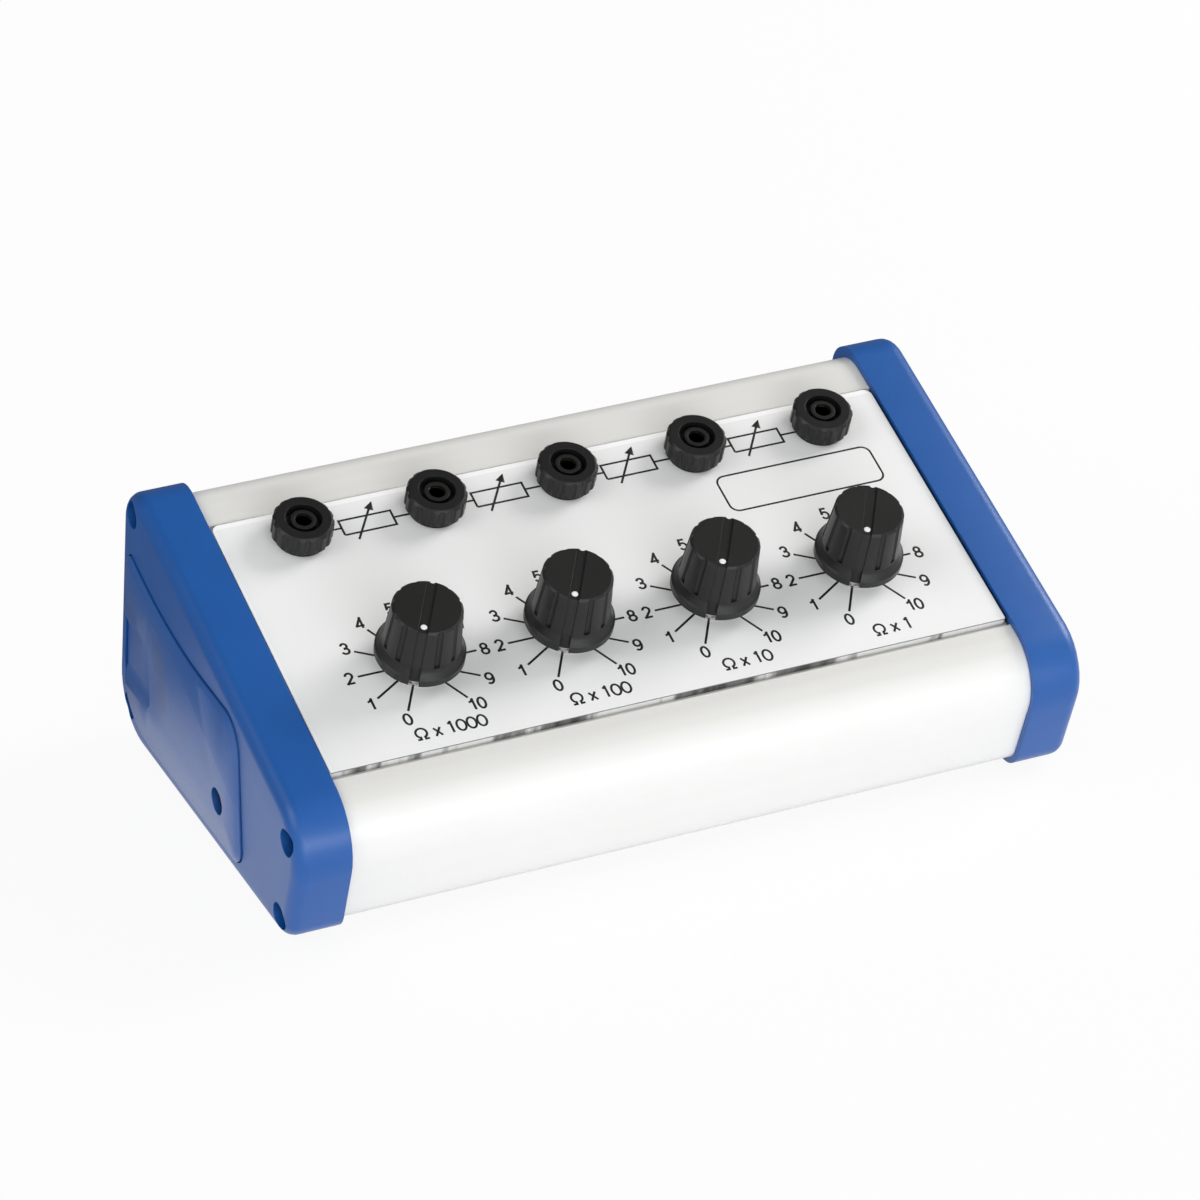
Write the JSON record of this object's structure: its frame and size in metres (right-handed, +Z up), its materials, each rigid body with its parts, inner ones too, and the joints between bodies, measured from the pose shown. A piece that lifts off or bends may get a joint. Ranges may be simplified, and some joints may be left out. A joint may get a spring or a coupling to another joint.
{
  "type": "decade resistance box",
  "caption": "Sloping bench box with moulded end cheeks; fluted knobs turn decade switches and screw-cap 4 mm terminals tap the resistor chain.",
  "frame": {"origin": "on the table, below the middle of the box", "axes": "+X along the box to the right as seen from the front, +Y to the rear, +Z up"},
  "size_m": [0.2004, 0.1146, 0.0715],
  "materials": {
    "case_white": "satin white powder coat on aluminium",
    "panel_print": "clear plate printed white behind, gloss",
    "cheek_blue": "fine-grained moulded blue",
    "pad_blue": "softer blue, fine grain",
    "screw_black": "blackened steel",
    "foot_rubber": "matt black",
    "brass": "turned brass",
    "cap_black": "black moulding, low sheen",
    "fibre": "red-brown fibre",
    "nickel": "nickel plated",
    "switch_plastic": "dark moulding",
    "steel": "turned steel",
    "board_green": "green lacquered board",
    "wire_red": "insulated wire",
    "resistor_body": "lacquered bodies with bands",
    "knob_black": "charcoal moulding, satin",
    "rotor_plastic": "ivory moulding"
  },
  "bodies": {
    "box": {"case_shell": "case_white", "top_panel": "panel_print", "left_cheek": "cheek_blue", "right_cheek": "cheek_blue", "left_grip_pad": "pad_blue", "right_grip_pad": "pad_blue", "cheek_screws": "screw_black", "grip_pad_screws": "screw_black", "rubber_feet": "foot_rubber", "terminal_stems": "brass", "switch_contacts": "brass", "terminal_sleeves": "cap_black", "terminal_collars": "cap_black", "terminal_washers": "fibre", "terminal_nuts": "nickel", "terminal_tags": "nickel", "switch_washers": "nickel", "switch_nuts": "nickel", "switch_housings": "switch_plastic", "switch_bushes": "steel", "circuit_board": "board_green", "link_wires": "wire_red", "decade_resistors_1": "resistor_body", "decade_resistors_2": "resistor_body", "decade_resistors_3": "resistor_body", "decade_resistors_4": "resistor_body"},
    "dial_1": {"knob_1": "knob_black", "switch_shaft_1": "steel", "switch_rotor_1": "rotor_plastic", "switch_wiper_1": "brass"},
    "dial_2": {"knob_2": "knob_black", "switch_shaft_2": "steel", "switch_rotor_2": "rotor_plastic", "switch_wiper_2": "brass"},
    "dial_3": {"knob_3": "knob_black", "switch_shaft_3": "steel", "switch_rotor_3": "rotor_plastic", "switch_wiper_3": "brass"},
    "dial_4": {"knob_4": "knob_black", "switch_shaft_4": "steel", "switch_rotor_4": "rotor_plastic", "switch_wiper_4": "brass"},
    "clamp_1": {"clamp_ring_1": "nickel"},
    "cap_1": {"terminal_cap_1": "cap_black"},
    "clamp_2": {"clamp_ring_2": "nickel"},
    "cap_2": {"terminal_cap_2": "cap_black"},
    "clamp_3": {"clamp_ring_3": "nickel"},
    "cap_3": {"terminal_cap_3": "cap_black"},
    "clamp_4": {"clamp_ring_4": "nickel"},
    "cap_4": {"terminal_cap_4": "cap_black"},
    "clamp_5": {"clamp_ring_5": "nickel"},
    "cap_5": {"terminal_cap_5": "cap_black"}
  },
  "joints": [
    {"name": "dial_1_turn", "type": "hinge", "parent": "box", "child": "dial_1", "pos_m": [-0.054, -0.01998, 0.04834], "axis": [0, 0.342, -0.9397], "range_deg": [0, 300]},
    {"name": "dial_2_turn", "type": "hinge", "parent": "box", "child": "dial_2", "pos_m": [-0.017, -0.01998, 0.04834], "axis": [0, 0.342, -0.9397], "range_deg": [0, 300]},
    {"name": "dial_3_turn", "type": "hinge", "parent": "box", "child": "dial_3", "pos_m": [0.02, -0.01998, 0.04834], "axis": [0, 0.342, -0.9397], "range_deg": [0, 300]},
    {"name": "dial_4_turn", "type": "hinge", "parent": "box", "child": "dial_4", "pos_m": [0.057, -0.01998, 0.04834], "axis": [0, 0.342, -0.9397], "range_deg": [0, 300]},
    {"name": "clamp_1_rise", "type": "slide", "parent": "box", "child": "clamp_1", "axis": [0, -0.342, 0.9397], "range_m": [0, 0.0025]},
    {"name": "cap_1_screw", "type": "hinge", "parent": "clamp_1", "child": "cap_1", "pos_m": [-0.0657, 0.02081, 0.06318], "axis": [0, -0.342, 0.9397], "range_deg": [0, 901]},
    {"name": "clamp_2_rise", "type": "slide", "parent": "box", "child": "clamp_2", "axis": [0, -0.342, 0.9397], "range_m": [0, 0.0025]},
    {"name": "cap_2_screw", "type": "hinge", "parent": "clamp_2", "child": "cap_2", "pos_m": [-0.0324, 0.02081, 0.06318], "axis": [0, -0.342, 0.9397], "range_deg": [0, 901]},
    {"name": "clamp_3_rise", "type": "slide", "parent": "box", "child": "clamp_3", "axis": [0, -0.342, 0.9397], "range_m": [0, 0.0025]},
    {"name": "cap_3_screw", "type": "hinge", "parent": "clamp_3", "child": "cap_3", "pos_m": [0.0009, 0.02081, 0.06318], "axis": [0, -0.342, 0.9397], "range_deg": [0, 901]},
    {"name": "clamp_4_rise", "type": "slide", "parent": "box", "child": "clamp_4", "axis": [0, -0.342, 0.9397], "range_m": [0, 0.0025]},
    {"name": "cap_4_screw", "type": "hinge", "parent": "clamp_4", "child": "cap_4", "pos_m": [0.0342, 0.02081, 0.06318], "axis": [0, -0.342, 0.9397], "range_deg": [0, 901]},
    {"name": "clamp_5_rise", "type": "slide", "parent": "box", "child": "clamp_5", "axis": [0, -0.342, 0.9397], "range_m": [0, 0.0025]},
    {"name": "cap_5_screw", "type": "hinge", "parent": "clamp_5", "child": "cap_5", "pos_m": [0.0675, 0.02081, 0.06318], "axis": [0, -0.342, 0.9397], "range_deg": [0, 901]}
  ],
  "couplings": [
    {"joint": "cap_1_screw", "follows": "clamp_1_rise", "rad_per_m": 6283.2},
    {"joint": "cap_2_screw", "follows": "clamp_2_rise", "rad_per_m": 6283.2},
    {"joint": "cap_3_screw", "follows": "clamp_3_rise", "rad_per_m": 6283.2},
    {"joint": "cap_4_screw", "follows": "clamp_4_rise", "rad_per_m": 6283.2},
    {"joint": "cap_5_screw", "follows": "clamp_5_rise", "rad_per_m": 6283.2}
  ]
}
